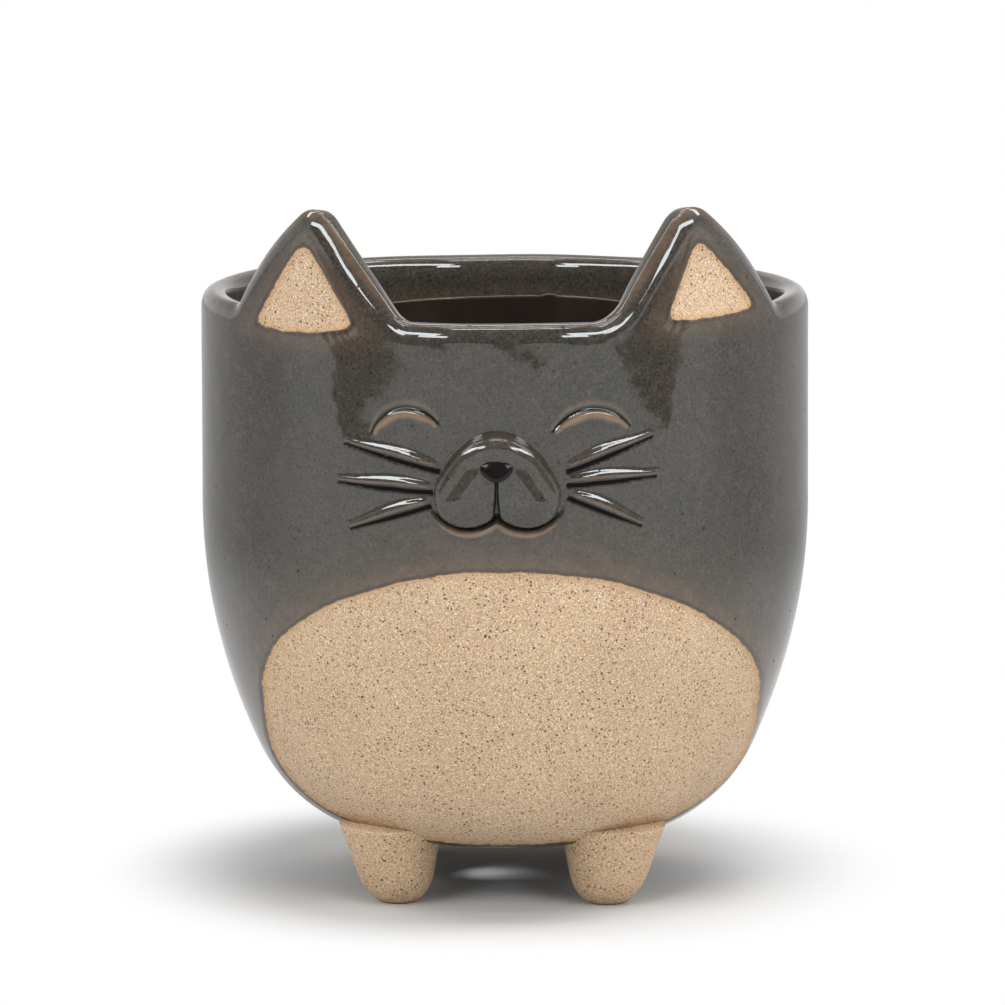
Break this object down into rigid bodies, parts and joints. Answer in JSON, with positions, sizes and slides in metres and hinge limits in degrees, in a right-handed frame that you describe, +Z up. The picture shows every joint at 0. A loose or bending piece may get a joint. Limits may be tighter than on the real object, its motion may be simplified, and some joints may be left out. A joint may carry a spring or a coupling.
{
  "type": "animal shaped planter",
  "caption": "Stoneware planter shaped like a sitting cat: a round bowl that rises into ears, with a raised muzzle, gouged face, bare clay belly and stub legs, glazed grey outside.",
  "frame": {"origin": "middle of the object's footprint, on the plane that its feet stand on", "axes": "+Z up; the cat looks along -Y; +X is on the right of someone who faces it"},
  "size_m": [0.12, 0.1258, 0.1389],
  "materials": {
    "clay": "bare speckled stoneware",
    "grey_glaze": "glossy charcoal glaze that breaks brown on edges",
    "dark_glaze": "glossy dark brown liner glaze",
    "black_glaze": "glossy black glaze"
  },
  "bodies": {
    "root": {"pot_body": "clay", "outer_glaze": "grey_glaze", "liner_glaze": "dark_glaze", "muzzle": "grey_glaze", "nose": "black_glaze", "front_left_leg": "clay", "front_right_leg": "clay", "rear_left_leg": "clay", "rear_right_leg": "clay"}
  },
  "joints": []
}
